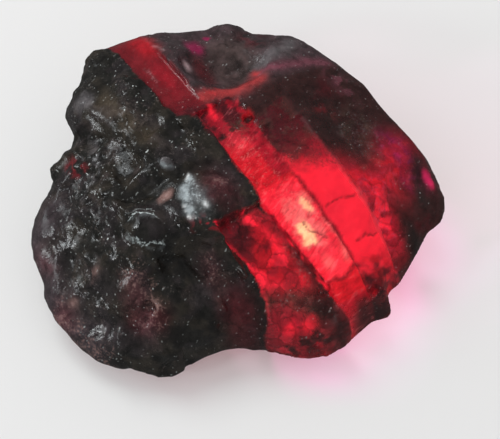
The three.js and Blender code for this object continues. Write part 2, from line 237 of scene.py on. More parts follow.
# Relief, in millimetres: lumps and broken facets on the crust, fine creases on the red, and open cracks
end_crack = near_line([(5.6, -8.9), (6.3, -8.5), (7.6, -7.7), (8.6, -6.6)], 0.26)
slant_crack = near_line([(4.5, -4.2), (5.0, -4.9), (6.3, -5.3)], 0.18)
far_plate_crack = near_line([(6.2, -2.9), (7.2, -2.3), (8.3, -2.0)], 0.16)
near_plate_crack = near_line([(8.5, -5.1), (9.0, -4.6), (9.3, -4.7), (9.9, -4.2)], 0.18)
curved_crack = near_line([(2.6, 1.9), (3.2, 2.0), (4.0, 1.8), (4.8, 1.6), (5.2, 1.2)], 0.18)
cracks = np.max([end_crack, slant_crack, far_plate_crack, near_plate_crack, curved_crack], axis=0) * top
rugged = crust * (1 - 0.6 * knob) * (1 - 0.85 * oval) * (1 - 0.9 * smooth_front)
rugged *= 0.25 + 0.75 * step(-0.25, 0.35, waves(2.2, 211))
fold = near_line([(-9.5, -2.3), (-7.1, -2.8), (-5.4, -2.0), (-3.6, -1.2), (-1.8, -0.9)], 0.5) * crust
hollows = patch(-8.7, -8.0, 2.2, 1.5, 2.0) + patch(-8.3, -5.1, 1.0, 0.8, 2.0) * crust
rugged *= 1 - 0.8 * np.clip(hollows, 0, 1)
rugged *= 1 - 0.7 * patch(0.1, -9.6, 4.4, 3.2, 2.0)
left_rim = near_line([(-13.6, -2.0), (-14.5, -4.2), (-13.9, -6.8), (-12.5, -9.0), (-10.4, -11.4)], 3.0)
rugged *= 1 - 0.65 * left_rim
relief = rugged * (0.14 * long_wave + 0.08 * short_wave + 0.02 * fine_wave)
relief += rugged * (0.22 * facets(1.2, 11) + 0.18 * facets(0.5, 47))
upper_arc = near_line([(-8.0, -5.0), (-7.2, -4.6), (-6.4, -4.5), (-5.7, -4.9)], 0.24)
lower_arc = near_line([(-7.9, -5.5), (-7.0, -6.0), (-5.9, -6.4), (-5.1, -6.1)], 0.24)
oval_arcs = upper_arc + lower_arc
relief += 0.30 * patch(-6.4, -5.4, 2.8, 3.0, 1.5) * crust + 0.07 * oval_arcs * crust
relief += knob * crust * (0.03 * fine_wave + 0.10 * facets(0.8, 131))
relief += terrace * (0.05 * short_wave + 0.03 * fine_wave + 0.22 * facets(0.8, 71))
relief += (1 - crust) * (0.015 * short_wave)
broken_end = patch(-0.7, 4.2, 3.4, 4.2, 2.0) * (1 - crust)
relief += broken_end * (0.06 * short_wave + 0.30 * facets(0.6, 91))
relief += back * (0.04 * short_wave + 0.02 * fine_wave + 0.10 * facets(0.7, 23))
relief += layers * 0.014 * waves(0.5, 83, stretch=4.0)
relief -= 0.13 * cracks + 0.20 * fold + 0.25 * hollows
pit = patch(0.6, 3.8, 0.55, 0.5, 2.0) * top
pale_grain, grey_knob = patch(-5.1, -3.0, 0.7, 1.2, 2.0), patch(-4.9, -0.7, 0.9, 0.7, 2.0)
relief += 0.16 * pale_grain + 0.25 * grey_knob - 0.30 * pit
relief *= step(0.0, 0.6, z)
sway = 0.40 * rugged * step(0.0, 1.5, z)
place[:, 0] += sway * waves(1.7, 301)
place[:, 1] += sway * waves(1.7, 341)
place += facing * relief[:, None]
worn_tip = np.exp(-((np.hypot(x - crust_tip.x, y - crust_tip.y) / 0.9) ** 4)) * crust
place[:, 2] -= 0.85 * worn_tip * np.clip(place[:, 2] - crust_tip.z + 0.15, 0, None)
place[:, 2] = np.maximum(place[:, 2], 0)
for vertex, moved in zip(form.verts, place):
    vertex.co = moved
wear([vertex for vertex, share in zip(form.verts, crust) if share > 0.5], 2)
wear([vertex for vertex in form.verts if (vertex.co - crust_tip).length < 1.0], 6)
bmesh.ops.scale(form, verts=form.verts, vec=Vector((1, 1, 1)) * millimetre)
form.to_mesh(skin)
form.free()
for face in skin.polygons:
    face.use_smooth = True


# Finishes: colour as the eye sees it, from 0 to 255, then how clear, how much painted glow stands in for
# light through the stone, how rough and how mottled
def seen(*colour):
    return [((part / 255 + 0.055) / 1.055) ** 2.4 if part > 10 else part / 3300 for part in colour]


finishes = {
    "black": (seen(30, 29, 27), 0.0, 0.0, 0.11, 0.9),
    "smoke": (seen(58, 37, 36), 0.35, 0.0, 0.14, 0.7),
    "dark_glass": (seen(34, 26, 25), 0.26, 0.0, 0.32, 0.8),
    "brown": (seen(74, 64, 52), 0.0, 0.0, 0.24, 0.7),
    "grey": (seen(96, 92, 94), 0.0, 0.0, 0.20, 0.6),
    "lilac": (seen(80, 68, 74), 0.0, 0.0, 0.24, 0.8),
    "dish_grey": (seen(76, 60, 58), 0.0, 0.0, 0.40, 1.0),
    "mauve": (seen(120, 64, 78), 0.1, 0.0, 0.30, 0.5),
    "grain": (seen(140, 108, 102), 0.0, 0.0, 0.28, 0.6),
    "pink_grain": (seen(100, 56, 62), 0.0, 0.0, 0.28, 1.0),
    "maroon": (seen(92, 24, 34), 0.4, 0.0, 0.18, 0.8),
    "dull_red": (seen(144, 34, 44), 0.45, 0.08, 0.18, 0.4),
    "crimson": (seen(200, 24, 50), 0.6, 0.20, 0.14, 0.5),
    "salmon": (seen(186, 58, 60), 0.2, 0.04, 0.28, 0.4),
    "red": (seen(240, 28, 46), 0.7, 0.34, 0.12, 0.5),
    "vivid_red": (seen(255, 36, 58), 0.7, 0.56, 0.10, 0.12),
    "pink_red": (seen(255, 66, 82), 0.6, 0.56, 0.12, 0.2),
    "hot": (seen(255, 190, 138), 0.2, 0.62, 0.15, 0.1),
    "pale_pink": (seen(255, 122, 118), 0.4, 0.40, 0.15, 0.1),
    "magenta": (seen(150, 32, 84), 0.4, 0.06, 0.18, 0.5),
    "hot_pink": (seen(235, 40, 105), 0.5, 0.25, 0.14, 0.2),
    "rose": (seen(214, 62, 92), 0.4, 0.20, 0.18, 0.2),
    "pale": (seen(215, 185, 190), 0.1, 0.05, 0.18, 0.3),
    "pale_blue": (seen(176, 186, 190), 0.0, 0.0, 0.20, 0.6),
    "glint": (seen(250, 253, 253), 0.0, 0.12, 0.12, 0.2),
}
coat = np.zeros((len(x), 7))
clear_column, rough_column, mottle_column = 3, 5, 6


# Lays a finish over what is there: where the mask is above 0, and as thickly as the amount says
def lay(finish, mask, amount=1.0):
    colour, *feel = finishes[finish]
    share = (np.clip(mask, 0, 1) * amount)[:, None]
    coat[:] = coat * (1 - share) + np.array([*colour, *feel]) * share


# Flecks of another finish, scattered more thickly where the mask is stronger
flecks = np.zeros((len(x), 4))


def scatter(finish, mask, amount=1.0):
    share = (np.clip(mask, 0, 1) * amount)[:, None]
    flecks[:, :3] = np.where(share > 0.05, finishes[finish][0], flecks[:, :3])
    flecks[:, 3] = np.maximum(flecks[:, 3], share[:, 0])


everywhere = np.ones(len(x))
patchy = step(-0.15, 0.20, short_wave)
blotchy = step(-0.05, 0.15, side_wave + 0.4 * fine_wave)
lay("smoke", everywhere)

# The back: the dark dish, the hump over it, and the rib of salmon red that closes it off in front
lay("lilac", back, 0.55)
lay("black", back * blotchy, 0.45)
lay("dish_grey", patch(-0.7, 9.4, 4.6, 4.4, 2.0), 0.85)
lay("black", patch(0.2, 9.0, 2.6, 2.2, 1.5) * patchy, 0.5)
lay("maroon", patch(-2.6, 8.4, 2.4, 1.2, 1.5), 0.7)
lay("maroon", patch(1.0, 11.4, 2.2, 2.0, 1.5) * patchy, 0.5)
lay("grey", near_line([(1.8, 8.9), (3.2, 10.2), (3.8, 11.0)], 1.3), 0.75)
lay("mauve", near_line([(1.7, 8.0), (3.2, 8.2), (5.2, 9.2), (6.4, 9.4)], 0.9), 0.85)
lay("salmon", near_line([(-2.6, 5.0), (-1.2, 5.8), (0.2, 6.2), (1.4, 7.1)], 1.2), 0.9)
lay("salmon", patch(1.3, 8.1, 0.7, 0.6))
lay("magenta", patch(-3.2, 10.4, 1.8, 1.2, 2.0))
lay("magenta", patch(-2.5, 11.6, 0.5, 0.5, 2.0))
# Painted glint: a small pale patch on the hump
lay("pale", patch(-3.8, 8.5, 0.8, 0.4, 1.5), 0.6)
lay("smoke", patch(2.6, 5.8, 2.4, 3.2, 1.5), 0.85)
lay("maroon", patch(6.2, 6.6, 1.6, 1.2, 1.0), 0.6)
lay("crimson", patch(5.9, 4.9, 1.0, 0.7, 1.0) * patchy, 0.8)
lay("mauve", patch(7.2, 8.0, 2.4, 0.8, 1.0) * blotchy, 0.5)

# The upper plank, with the dull glow of thick red and white flecks along its broken edges
lay("dull_red", stretch_of_layer(-17, -4.6, plank_left, plank_right))
lay("maroon", stretch_of_layer(-17, -4.6, plank_left, plank_right), 0.3)
lay("red", patch(-6.9, 10.4, 3.0, 1.6, 1.5), 0.45)
lay("crimson", patch(-5.2, 7.0, 3.2, 1.2, 1.5), 0.45)
lay("maroon", patch(-3.9, 3.9, 2.2, 2.6, 2.0) * (1 - crust), 0.75)
lay("pale", near_line([(-6.7, 8.0), (-5.6, 6.2)], 0.24) * blotchy, 0.20)
lay("pale", near_line([(-6.2, 10.3), (-5.4, 9.4)], 0.24) * blotchy, 0.20)

# The bright layer: broken and darker at its back end, rippled, then hot where light comes straight through
lay("maroon", stretch_of_layer(-5.0, bright_start + 2.2, plank_left, 2.6))
lay("crimson", stretch_of_layer(-4.6, -1.0, bright_left - 0.4, bright_right) * patchy, 0.8)
lay("vivid_red", patch(-1.8, 3.9, 1.3, 0.6, 2.0))
lay("red", patch(-1.6, 4.9, 1.6, 0.7, 2.0) * patchy, 0.5)
lay("red", patch(0.6, 3.9, 1.0, 0.9, 2.0), 0.6)
lay("black", patch(0.65, 3.85, 0.42, 0.36, 3.0), 0.95)
lay("grey", patch(-0.1, 3.0, 1.1, 1.0, 2.0) * blotchy, 0.5)
lay("red", stretch_of_layer(-1.2, 14.5, bright_left - 0.2, bright_right, 0.6) * off_terrace)
lay("crimson", stretch_of_layer(-2.4, 2.4, 1.7, bright_right), 0.8)
lay("maroon", patch(1.3, 3.0, 1.8, 1.2, 1.5) * blotchy, 0.7)
scatter("brown", patch(0.2, 3.0, 1.8, 2.4, 1.5), 0.6)
lay("maroon", stretch_of_layer(-1.0, 9.0, bright_right - 0.5, bright_right, 0.3) * patchy, 0.5)
lay("pink_red", patch(0.3, 1.4, 3.0, 1.6, 1.5) * patchy, 0.6)
lay("vivid_red", stretch_of_layer(3.0, 10.6, bright_left, bright_right, 0.5) * off_terrace)
lay("pink_red", patch(4.6, -3.8, 5.0, 2.6, 2.0) * off_terrace, 0.7)
lay("pink_red", patch(6.6, -6.6, 3.4, 2.2, 2.0) * off_terrace, 0.5)
broken_light = 1 + 0.6 * side_wave + 0.5 * fine_wave
lay("pale_pink", step(0.25, 0.6, patch(4.8, -2.9, 2.0, 1.4) * broken_light), 0.6)
lay("pale_pink", step(0.35, 0.6, patch(4.0, -3.9, 3.2, 1.6) * broken_light), 0.5)
lay("pale_pink", step(0.25, 0.6, patch(5.0, -5.0, 3.2, 2.2) * broken_light), 0.55)
lay("hot", step(0.35, 0.75, patch(4.8, -2.9, 1.4, 0.9) * broken_light), 0.75)
lay("hot", step(0.30, 0.75, patch(4.75, -5.1, 2.3, 1.4) * broken_light), 0.95)
scatter("pale_pink", patch(4.6, -4.1, 5.4, 2.6) * off_terrace, 0.35)
lay("pale_pink", near_line([(6.0, -3.9), (7.0, -4.9), (7.6, -6.2)], 0.35), 0.5)
lay("pale_pink", patch(6.4, -7.0, 0.9, 0.6), 0.6)
lay("pale_pink", patch(7.6, -6.3, 0.9, 0.6), 0.5)
lay("red", stretch_of_layer(10.8, 15, -1.0, bright_right) * off_terrace, 0.9)
lay("crimson", stretch_of_layer(11.8, 15, -1.0, bright_right) * off_terrace, 0.8)

# The plate beside it: dim and wispy at the back, then one flat sheet of vivid red with a sharp right edge
plate = stretch_of_layer(plate_start - 1.2, 13.5, plate_left, plate_right) * off_terrace
lay("maroon", plate)
lay("brown", plate * step(-0.6, 0.6, y) * blotchy, 0.4)
lay("dull_red", plate * step(3.0, 0.6, y) * (0.4 + 0.6 * patchy), 0.7)
scatter("smoke", plate * step(-1.0, 1.0, y), 0.4)
lay("crimson", plate * step(3.2, 0.8, y) * step(plate_left + 1.2, plate_right, warped_across), 0.9)
lay("vivid_red", plate * step(1.2, -0.6, y + 0.5 * short_wave) * step(11.6, 9.9, along + 0.9 * side_wave))
lay("red", plate * step(9.6, 10.8, along) * patchy, 0.7)
lay("maroon", plate * step(10.2, 11.8, along) * (0.3 + 0.7 * blotchy), 0.8)
lay("dark_glass", plate * step(11.6, 13.0, along), 0.75)
lay("maroon", stretch_of_layer(3.0, 11.4, plate_left - 0.05, plate_left + 0.20) * off_terrace, 0.55)

# Beyond the plate: smoky and glassy, with crimson where light leaks in, black patches, and a magenta corner
lay("mauve", patch(7.4, 7.6, 3.6, 1.6, 1.5) * beyond * blotchy, 0.45)
lay("maroon", patch(6.4, 6.2, 3.4, 2.2, 1.5) * patchy, 0.6)
lay("crimson", patch(6.3, 4.8, 1.2, 0.8, 1.0) * blotchy, 0.8)
lay("dark_glass", near_line([(5.8, 5.2), (6.9, 2.6), (8.2, 0.9)], 2.6) * beyond, 0.75)
lay("brown", patch(8.6, 3.6, 5.0, 3.4, 2.0) * beyond * patchy, 0.35)
lay("maroon", patch(9.6, 2.2, 6.0, 3.6, 2.0) * beyond * blotchy, 0.12)
lay("brown", near_line([(9.4, 4.0), (10.3, 2.6), (10.2, 1.2), (9.0, 0.3)], 0.7) * blotchy * beyond, 0.75)
scatter("grey", patch(8.8, 3.4, 4.6, 4.0, 2.0) * beyond, 0.28)
lay("crimson", near_line([(7.2, -0.6), (9.0, -0.9), (10.4, -0.5), (11.3, 0.9), (11.5, 2.5)], 2.8) * beyond)
lay("magenta", near_line([(10.8, 3.2), (12.0, 2.0), (12.7, 0.8)], 1.9) * beyond * (0.3 + 0.7 * blotchy))
lay("red", near_line([(7.6, -0.8), (9.6, -1.0), (11.0, 0.4), (11.4, 1.8)], 1.8) * beyond * patchy, 0.8)
scatter("rose", near_line([(8.0, -0.6), (9.8, -1.2), (11.2, 0.6), (11.6, 2.2)], 2.4) * beyond, 0.35)
scatter("rose", patch(10.3, -3.2, 3.6, 2.4, 2.0) * beyond, 0.35)
lay("crimson", patch(10.3, -3.2, 4.4, 2.8, 2.0) * beyond)
lay("vivid_red", patch(10.2, -3.0, 3.6, 1.9, 1.5) * beyond * patchy, 0.9)
lay("maroon", patch(10.6, -6.4, 4.0, 3.2, 2.0) * beyond * (0.5 + 0.5 * patchy), 0.8)
lay("crimson", patch(10.2, -5.6, 3.0, 2.0, 1.5) * beyond * blotchy, 0.7)
lay("black", near_line([(12.9, 2.2), (12.9, 0.6), (13.3, -0.8)], 1.3) * beyond, 0.85)
lay("black", patch(12.4, -3.4, 2.6, 1.5, 1.5) * beyond, 0.8)
lay("black", patch(11.6, 0.2, 1.4, 0.8, 1.5) * beyond, 0.6)
lay("maroon", patch(13.4, -2.2, 2.6, 1.4, 1.5) * beyond * blotchy, 0.7)
lay("hot_pink", patch(13.7, 1.1, 1.4, 0.7, 2.0) * beyond)
lay("hot_pink", near_line([(10.9, 2.8), (11.6, 2.2)], 0.5) * beyond * blotchy, 0.7)
lay("dark_glass", patch(9.3, -9.3, 1.9, 2.6, 2.0), 0.9)
lay("red", near_line([(8.4, -11.2), (9.6, -10.4), (10.8, -9.8)], 0.8) * off_terrace, 0.8)

# The lower terrace and its lobe: red seen through a broken floor, a dark wall beside the bright layer
lay("dull_red", terrace)
lay("crimson", terrace * (0.3 + 0.7 * patchy), 0.7)
lay("crimson", terrace * patch(1.9, -6.2, 5.0, 2.6, 2.0), 0.5)
lay("red", terrace * (0.3 + 0.7 * patchy) * patch(2.5, -6.9, 4.4, 3.2, 2.0), 0.95)
lay("maroon", terrace * patch(0.1, -5.2, 2.8, 2.0, 2.0), 0.85)
lay("vivid_red", terrace * near_line([(0.6, -3.9), (1.9, -4.8), (2.9, -5.9)], 0.5), 0.9)
lay("vivid_red", terrace * patch(3.3, -6.3, 0.9, 0.7, 2.0), 0.8)
lay("vivid_red", terrace * patch(4.6, -7.6, 1.3, 0.8, 2.0), 0.7)
lay("vivid_red", terrace * patch(1.8, -7.9, 1.8, 0.7, 1.5))
lay("vivid_red", terrace * patch(2.8, -8.2, 1.2, 0.8, 1.5), 0.8)
lay("vivid_red", terrace * near_line(terrace_outline[:4], 0.35))
lay("smoke", terrace * near_line([(4.1, -5.7), (5.4, -7.4), (6.4, -9.0)], 1.4), 0.85)
belt = near_line([(2.4, -9.3), (4.2, -9.2), (6.0, -9.5)], 1.3)
lay("brown", terrace * belt, 0.85)
lay("maroon", terrace * belt * patchy, 0.5)
scatter("grain", terrace * near_line([(3.6, -5.8), (4.6, -7.4), (5.4, -8.8), (3.0, -9.2)], 1.0), 0.2)
lay("dull_red", terrace * patch(2.5, -10.6, 1.8, 1.6, 2.0))
lay("crimson", terrace * patch(3.6, -10.4, 4.0, 2.0, 2.0), 0.5)
lay("vivid_red", terrace * patch(3.7, -10.7, 1.0, 1.0, 1.5))
lay("vivid_red", terrace * patch(5.0, -10.5, 0.9, 1.3, 1.5))
lay("maroon", terrace * (1 - step(-1.0, 0.6, above_rim)), 0.9)
lobe_foot = near_line([(3.6, -11.3), (5.0, -11.2), (6.4, -10.8)], 1.0)
lay("dark_glass", terrace * lobe_foot * (0.4 + 0.6 * blotchy), 0.9)
lay("dark_glass", terrace * near_line([(5.9, -9.3), (6.6, -9.9), (7.6, -10.9)], 2.2), 0.92)
lay("crimson", terrace * patch(5.3, -11.9, 0.5, 1.0) * patchy, 0.7)

# The underside, which the photograph hides, is smoky, with the layers' red in long dull bands
under = step(-0.6, -1.6, above_rim)
lay("smoke", under)
lay("maroon", under * step(-0.4, 0.6, waves(2.4, 501, stretch=3.0)), 0.8)
under_glow = under * step(bright_left, 0.4, across) * step(plate_right + 1.0, plate_right, across)
lay("red", under_glow * step(-0.8, 0.7, waves(3.0, 541, stretch=4.0)), 0.5)
lay("crimson", under * step(plate_right, plate_right + 1.0, across) * (0.5 + 0.5 * patchy), 0.5)

# The crust lies over all that it covers: near-black, with grains of paler rock in it and a lilac left rim
red_coat = coat.copy()
coat[:] = 0
lay("black", everywhere)
lay("brown", near_line([(-9.6, 5.4), (-7.9, 3.3), (-6.4, 1.6)], 1.5), 0.75)
lay("brown", step(-0.05, 0.35, waves(1.6, 401)), 0.20)
lay("lilac", step(0.0, 0.35, waves(1.8, 431)), 0.16)
# Painted sheen: pale grey on a left-facing facet and on streaks down the upper left slopes
lay("grey", patch(-11.1, 5.8, 1.8, 1.4, 2.0), 0.8)
lay("grey", near_line([(-10.4, 3.0), (-10.2, 0.7), (-10.6, -1.3)], 0.8) * blotchy, 0.6)
lay("dull_red", patch(-11.7, 0.9, 1.8, 1.1, 2.0) * blotchy, 0.7)
lay("grain", pale_grain)
lay("grey", patch(-4.9, -0.7, 1.2, 0.7, 2.0), 0.7)
# Painted shade: the fold and the hollows are laid near-black
lay("black", fold + hollows, 0.8)
lay("lilac", left_rim, 0.45)
lay("maroon", patch(0.1, -9.9, 3.6, 2.6, 1.5), 0.6)
lay("maroon", near_line([(-5.4, -10.6), (-7.2, -10.2)], 1.4), 0.4)
lay("pink_grain", patch(-7.2, -9.0, 2.2, 1.6), 0.5)
lay("pink_grain", patch(-6.4, -10.7, 1.8, 1.1), 0.7)
lay("grain", patch(-5.8, -9.9, 1.0, 0.7) * blotchy, 0.7)
lay("grain", patch(-10.1, -7.3, 0.7, 0.6), 0.5)
lay("grain", patch(-11.7, -8.4, 0.8, 0.6), 0.6)
lay("pink_grain", patch(-12.4, -9.1, 1.8, 1.3), 0.7)
lay("pink_grain", patch(-1.8, -7.6, 2.0, 1.4), 0.5)
lay("pink_grain", patch(-13.9, -5.2, 2.6, 1.0), 0.4)
lay("maroon", patch(-1.0, -3.2, 3.4, 2.2, 2.0) * (0.5 + 0.5 * patchy), 0.5)
lay("brown", patch(0.7, -3.4, 1.8, 1.8, 1.5) * blotchy, 0.6)
lay("pink_grain", patch(-1.4, -2.5, 3.0, 2.4), 0.45)
lay("crimson", near_line([(-2.9, -5.2), (-1.6, -5.3)], 0.7) * blotchy, 0.7)
# Painted highlight: the knob's left side and its rim are laid pale blue-white where the lamp would reflect
knob_highlight_rim = near_line([(-3.5, -1.9), (-3.8, -3.0), (-3.6, -4.2), (-2.9, -5.0)], 0.6)
painted_knob_highlight = np.clip(knob_highlight_rim + 0.7 * patch(-2.9, -3.6, 2.8, 1.4, 1.5), 0, 1) * knob
lay("pale_blue", painted_knob_highlight, 0.30)
lay("pale_blue", knob_highlight_rim * knob * step(-0.1, 0.15, side_wave + 0.5 * fine_wave), 0.8)
# Painted highlight: faint pale arcs over the oval's ridges
lay("pale_blue", np.clip(oval_arcs, 0, 1) * step(-0.1, 0.3, side_wave + fine_wave), 0.15)
# Painted glints on the knob's lower edge, its upper tip and a bright spot on it
lay("glint", near_line([(-3.85, -4.1), (-3.5, -4.7), (-3.0, -5.1)], 0.18) * step(-0.3, 0.1, fine_wave), 0.8)
lay("glint", near_line([(-3.8, -1.9), (-3.5, -1.5)], 0.18), 0.6)
lay("glint", patch(-2.2, -4.2, 0.4, 0.3), 0.8)
lay("pale_blue", near_line([(-5.6, -0.2), (-5.0, -0.9), (-4.6, -1.0)], 0.25) * blotchy, 0.5)
coat = coat * crust[:, None] + red_coat * (1 - crust[:, None])
plate_edge = np.exp(-(((warped_across - plate_right) / 0.2) ** 2)) * top
behind_pit = near_line([(0.0, 6.3), (1.4, 5.0), (2.2, 3.6)], 0.9)
coat[:, rough_column] += 0.35 * (plate_edge + behind_pit)
coat[:, rough_column] += 0.3 * (patch(7.2, -10.4, 2.0, 2.0) + patch(-6.0, -2.0, 2.0, 1.6, 2.0))
flecks[:, 3] *= 1 - crust
scatter("grain", crust * near_line([(-7.4, -8.0), (-6.4, -9.2), (-5.8, -10.6)], 1.8), 0.40)
scatter("grain", crust * patch(-1.8, -7.5, 2.0, 1.4, 1.5), 0.35)
scatter("grain", crust * near_line([(-12.8, -8.4), (-11.6, -10.2), (-9.4, -12.2)], 1.4), 0.40)
scatter("grain", crust * patch(-1.2, -2.4, 2.6, 2.0, 1.5), 0.25)
# The painted knob highlight is also flecked pale blue-white
scatter("pale_blue", crust * painted_knob_highlight, 0.55)


def paint(name, columns):
    layer = skin.attributes.new(name, "FLOAT_COLOR", "POINT")
    rows = np.column_stack(columns)
    layer.data.foreach_set("color", rows.astype(np.float32).ravel())


fibrous = layers * (1 - 0.85 * step(plate_left, plate_left + 0.3, warped_across))
rippled = patch(1.4, 0.0, 7.0, 2.8, 2.0) * layers
crackled = np.clip(terrace + patch(10.4, -2.6, 6.4, 3.4, 2.0) * beyond, 0, 1)
paint("tint", [*coat[:, :clear_column].T, coat[:, mottle_column]])
paint("feel", [*coat[:, clear_column:mottle_column].T, crackled])
paint("wear", [fibrous, rugged, cracks, rippled])
paint("flecks", flecks.T)

ruby = bpy.data.materials.new("ruby")
ruby.use_nodes = True
tree = ruby.node_tree
tree.nodes.clear()


def node(kind, values=None, **settings):
    made = tree.nodes.new("ShaderNode" + kind)
    for name, value in settings.items():
        setattr(made, name, value)
    for name, value in (values or {}).items():
        if isinstance(value, bpy.types.NodeSocket):
            tree.links.new(value, made.inputs[name])
        else:
            made.inputs[name].default_value = value
    return made


def mix(share, first, second, blend="MIX"):
    return node("Mix", {0: share, 6: first, 7: second}, data_type="RGBA", blend_type=blend).outputs[2]


def maths(operation, first, second=0.0, clamp=False):
    return node("Math", {0: first, 1: second}, operation=operation, use_clamp=clamp).outputs[0]


def between(value, low, high, new_low=0.0, new_high=1.0):
    return node("MapRange", {0: value, 1: low, 2: high, 3: new_low, 4: new_high}).outputs[0]


tint_painted = node("Attribute", attribute_name="tint")
feel_painted = node("Attribute", attribute_name="feel")
wear_painted = node("Attribute", attribute_name="wear")
flecks_painted = node("Attribute", attribute_name="flecks")
clear, painted_glow, rough = node("SeparateColor", {0: feel_painted.outputs["Color"]}).outputs
fibre_share, rugged_share, crack_share = node("SeparateColor", {0: wear_painted.outputs["Color"]}).outputs
mottle_share, crackle_share, ripple_share = (
    painted.outputs["Alpha"] for painted in (tint_painted, feel_painted, wear_painted)
)
object_place = node("TexCoord").outputs["Object"]
per_metre = 1 / millimetre
in_millimetres = {"Scale": (per_metre, per_metre, per_metre), "Rotation": (0, 0, grain)}
spot = node("Mapping", {"Vector": object_place, **in_millimetres}).outputs[0]


# Cloudy noise, so many lumps to a millimetre, drawn out along the layers where the stretch is above 1
def noisy(lumps, detail, roughness, distortion=0.0, stretch=1):
    at = spot
    if stretch > 1:
        at = node("Mapping", {"Vector": spot, "Scale": (1, 1 / stretch, 1)}).outputs[0]
    texture = {"Scale": lumps, "Detail": detail, "Roughness": roughness, "Distortion": distortion}
    return node("TexNoise", {"Vector": at, **texture}).outputs


fibre = noisy(2.4, 5, 0.62, 0.9, stretch=4)[0]
cloud, cloud_colour = noisy(1.3, 7, 0.68, 0.4)
fine, fine_colour = noisy(5.0, 4, 0.6)
ripple = noisy(2.6, 3, 0.7, 2.2, stretch=2)[0]
shaken = node("VectorMath", {0: spot, 1: cloud_colour}, operation="ADD").outputs[0]
crystals = 0.9  # grown crystals to a millimetre
crystal = node("TexVoronoi", {"Vector": shaken, "Scale": crystals})
crystal_tone = node("SeparateColor", {0: crystal.outputs["Color"]}).outputs[0]

# Clouds and fibres in the red, mottling and speckles in the crust, then ripples, grown crystals and cracks
clouded = mix(mottle_share, (1, 1, 1, 1), between(cloud, 0.32, 0.68, 0.35, 1.6))
streaked = mix(fibre_share, (1, 1, 1, 1), between(fibre, 0.32, 0.62, 0.60, 1.15))
colour = mix(1.0, mix(1.0, tint_painted.outputs["Color"], clouded, "MULTIPLY"), streaked, "MULTIPLY")
bright_thread, bright_ripple = (1.0, 0.25, 0.26, 1), (1.0, 0.20, 0.19, 1)
pale_speckle, dark_pit, dark_crack = (0.15, 0.12, 0.11, 1), (0.004, 0.004, 0.004, 1), (0.05, 0.006, 0.008, 1)
threads = maths("MULTIPLY", between(fibre, 0.58, 0.72), fibre_share)
colour = mix(maths("MULTIPLY", threads, 0.35), colour, bright_thread)
ripples = maths("MULTIPLY", between(ripple, 0.54, 0.66), ripple_share)
colour = mix(maths("MULTIPLY", ripples, 0.55), colour, bright_ripple)
speckled_places = maths("MULTIPLY", rugged_share, between(cloud, 0.42, 0.60))
speckles = maths("MULTIPLY", between(fine, 0.56, 0.66), speckled_places)
colour = mix(maths("MULTIPLY", speckles, 0.55), colour, pale_speckle)
pits = maths("MULTIPLY", between(fine, 0.46, 0.36), rugged_share)
colour = mix(maths("MULTIPLY", pits, 0.55), colour, dark_pit)
fleck_share = flecks_painted.outputs["Alpha"]
coarse = maths("ADD", maths("MULTIPLY", cloud, 0.45), maths("MULTIPLY", fine, 0.55))
fleck_found = between(maths("ADD", coarse, maths("MULTIPLY", fleck_share, 0.17)), 0.56, 0.70)
fleck_found = maths("MULTIPLY", fleck_found, between(fleck_share, 0.0, 0.25, 0.0, 0.75))
crystal_rim = node("TexVoronoi", {"Vector": shaken, "Scale": crystals}, feature="DISTANCE_TO_EDGE")
crystal_edge = between(crystal_rim.outputs["Distance"], 0.02, 0.12, 0.62, 1.0)
grown = maths("MULTIPLY", crystal_edge, between(crystal_tone, 0.0, 1.0, 0.70, 1.60))
colour = mix(1.0, colour, mix(crackle_share, (1, 1, 1, 1), grown), "MULTIPLY")
colour = mix(fleck_found, colour, flecks_painted.outputs["Color"])
colour = mix(maths("MULTIPLY", crack_share, 0.75), colour, dark_crack)

# Painted glints: sparse tiny pale dots and short dashes laid into the colour, on the crust and fewer on the
# dark faces
glint_places = maths("MAXIMUM", rugged_share, maths("MULTIPLY", between(clear, 0.55, 0.35), 0.4))
clustered = between(cloud, 0.40, 0.54)
jolt = node("VectorMath", {0: fine_colour, "Scale": 0.22}, operation="SCALE").outputs[0]
jolted = node("VectorMath", {0: spot, 1: jolt}, operation="ADD").outputs[0]
glint_dot_colour = (0.72, 0.78, 0.76, 1)
round_glint_dots, glint_dashes = ((1, 1, 1), 4.4, 0.32, 0.84), ((1, 0.3, 1), 3.2, 0.22, 0.80)
for sides, scale, size, chosen in (round_glint_dots, glint_dashes):
    drawn = node("Mapping", {"Vector": jolted, "Scale": sides}).outputs[0]
    glint_cell = node("TexVoronoi", {"Vector": drawn, "Scale": scale})
    round_glint = between(glint_cell.outputs["Distance"], size, size * 0.5)
    kept = between(node("SeparateColor", {0: glint_cell.outputs["Color"]}).outputs[0], chosen, 1.0)
    glint_dots = maths("MULTIPLY", maths("MULTIPLY", round_glint, kept), maths("MULTIPLY", glint_places, clustered))
    colour = mix(glint_dots, colour, glint_dot_colour)

# Painted highlights: thin bright arcs that curl over and under the glassy oval in the crust, brighter on
# their lit side
wobble = node("VectorMath", {0: cloud_colour, 1: (0.5, 0.5, 0.5)}, operation="SUBTRACT").outputs[0]
wobble = node("VectorMath", {0: wobble, "Scale": 1.1 * millimetre}, operation="SCALE").outputs[0]
wobbled = node("VectorMath", {0: object_place, 1: wobble}, operation="ADD").outputs[0]
oval_half_length, oval_half_width = 1.5 * millimetre, 0.9 * millimetre
oval_place = node("Mapping", {
    "Vector": wobbled,
    "Location": (-6.50 * millimetre, -5.35 * millimetre, 0),
    "Rotation": (0, 0, math.radians(-15)),
    "Scale": (oval_half_length, oval_half_width, 100),
}, vector_type="TEXTURE").outputs[0]
from_middle = node("VectorMath", {0: oval_place}, operation="LENGTH").outputs["Value"]
beside_oval, over_oval = node("SeparateXYZ", {0: oval_place}).outputs[:2]
height = node("SeparateXYZ", {0: object_place}).outputs[2]
on_top = between(height, 3.0 * millimetre, 3.5 * millimetre)
